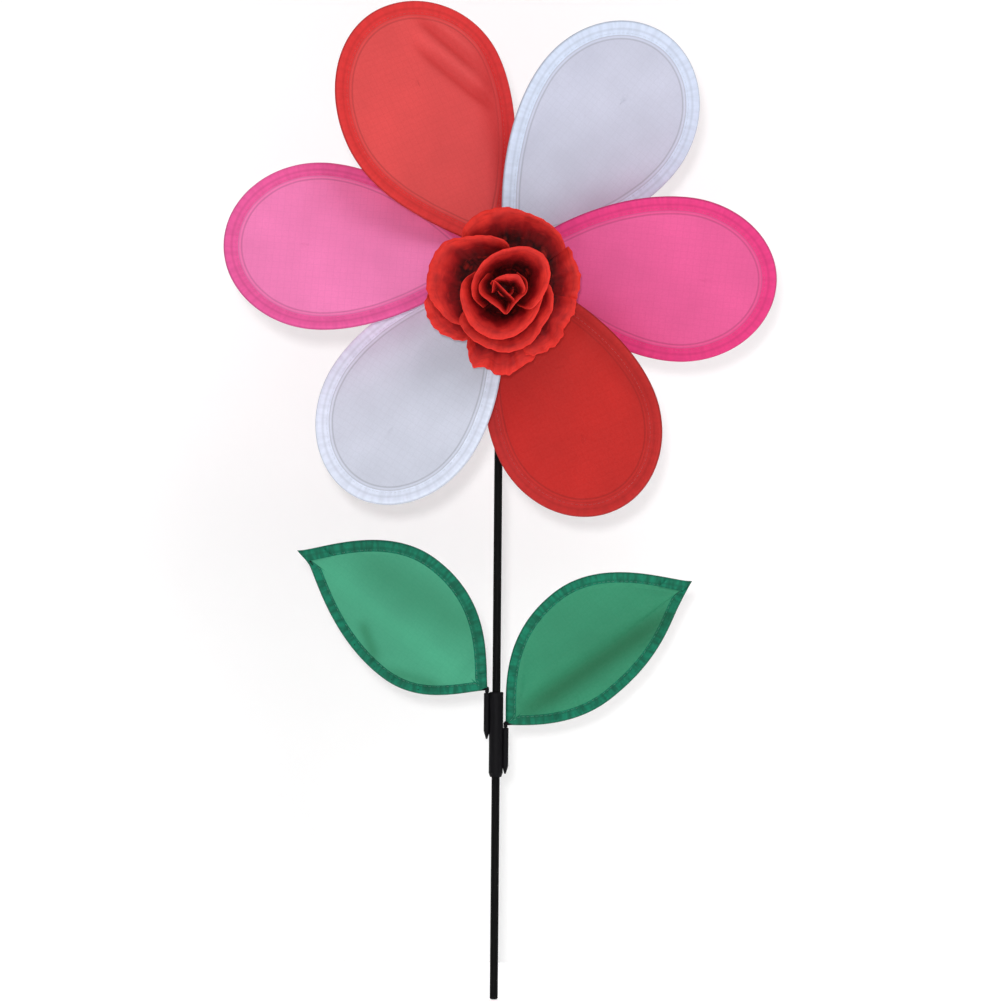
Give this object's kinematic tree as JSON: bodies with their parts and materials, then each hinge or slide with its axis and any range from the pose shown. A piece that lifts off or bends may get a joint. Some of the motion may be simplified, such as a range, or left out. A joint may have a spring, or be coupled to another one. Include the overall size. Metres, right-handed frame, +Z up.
{
  "type": "garden windmill",
  "caption": "Cloth flower windmill with pitched petals round a silk rose, free to spin on a plug-together rod with a pair of cloth leaves.",
  "frame": {"origin": "centre of the lower rod's flat ground end", "axes": "+Z up along the pole, -Y the way the flower faces, +X to the right seen from in front of the flower"},
  "size_m": [0.4047, 0.1193, 0.7313],
  "materials": {
    "pink_ripstop": "coated ripstop cloth, hemmed, slight sheen",
    "white_ripstop": "coated ripstop cloth, hemmed, slight sheen",
    "red_ripstop": "coated ripstop cloth, hemmed, slight sheen",
    "green_ripstop": "coated ripstop cloth, hemmed, slight sheen",
    "rose_silk": "matt artificial silk, heat-formed",
    "calyx_plastic": "green moulded polyethylene",
    "black_fibreglass": "pultruded fibreglass, satin",
    "black_plastic": "injection-moulded, matt",
    "coated_wire": "black coated spring wire",
    "steel": "zinc plated",
    "white_nylon": "turned nylon"
  },
  "bodies": {
    "ground_rod": {"lower_rod": "black_fibreglass"},
    "connector": {"leaf_connector": "black_plastic"},
    "left_leaf": {"left_leaf_sail": "green_ripstop", "left_leaf_wire": "coated_wire", "left_leaf_stem": "black_plastic"},
    "right_leaf": {"right_leaf_sail": "green_ripstop", "right_leaf_wire": "coated_wire", "right_leaf_stem": "black_plastic"},
    "mast": {"upper_rod": "black_fibreglass", "axle_head": "black_plastic", "axle": "steel", "rear_spacer": "white_nylon", "front_washer": "steel", "axle_retainer": "steel"},
    "rotor": {"hub": "black_plastic", "hub_bush": "white_nylon", "hub_cap": "black_plastic", "petal_sail_1": "pink_ripstop", "petal_sail_2": "white_ripstop", "petal_sail_3": "red_ripstop", "petal_sail_4": "pink_ripstop", "petal_sail_5": "white_ripstop", "petal_sail_6": "red_ripstop", "petal_wire_1": "coated_wire", "petal_wire_2": "coated_wire", "petal_wire_3": "coated_wire", "petal_wire_4": "coated_wire", "petal_wire_5": "coated_wire", "petal_wire_6": "coated_wire", "rose_stem": "calyx_plastic", "rose_calyx": "calyx_plastic", "rose_outer_petals": "rose_silk", "rose_wide_petals": "rose_silk", "rose_middle_petals": "rose_silk", "rose_inner_petals": "rose_silk", "rose_bud": "rose_silk"}
  },
  "joints": [
    {"name": "pole_pull", "type": "slide", "parent": "ground_rod", "child": "connector", "axis": [0, 0, 1], "range_m": [0, 0.028]},
    {"name": "head_turn", "type": "hinge", "parent": "connector", "child": "mast", "pos_m": [0, 0, 0.226], "axis": [0, 0, 1], "continuous": true},
    {"name": "flower_spin", "type": "hinge", "parent": "mast", "child": "rotor", "pos_m": [0, -0.034, 0.543], "axis": [0, -1, 0], "continuous": true},
    {"name": "left_leaf_turn", "type": "hinge", "parent": "connector", "child": "left_leaf", "pos_m": [-0.0069, 0, 0.2253], "axis": [0, 0, 1], "range_deg": [-90, 90]},
    {"name": "right_leaf_turn", "type": "hinge", "parent": "connector", "child": "right_leaf", "pos_m": [0.0069, 0, 0.1998], "axis": [0, 0, 1], "range_deg": [-90, 90]}
  ]
}
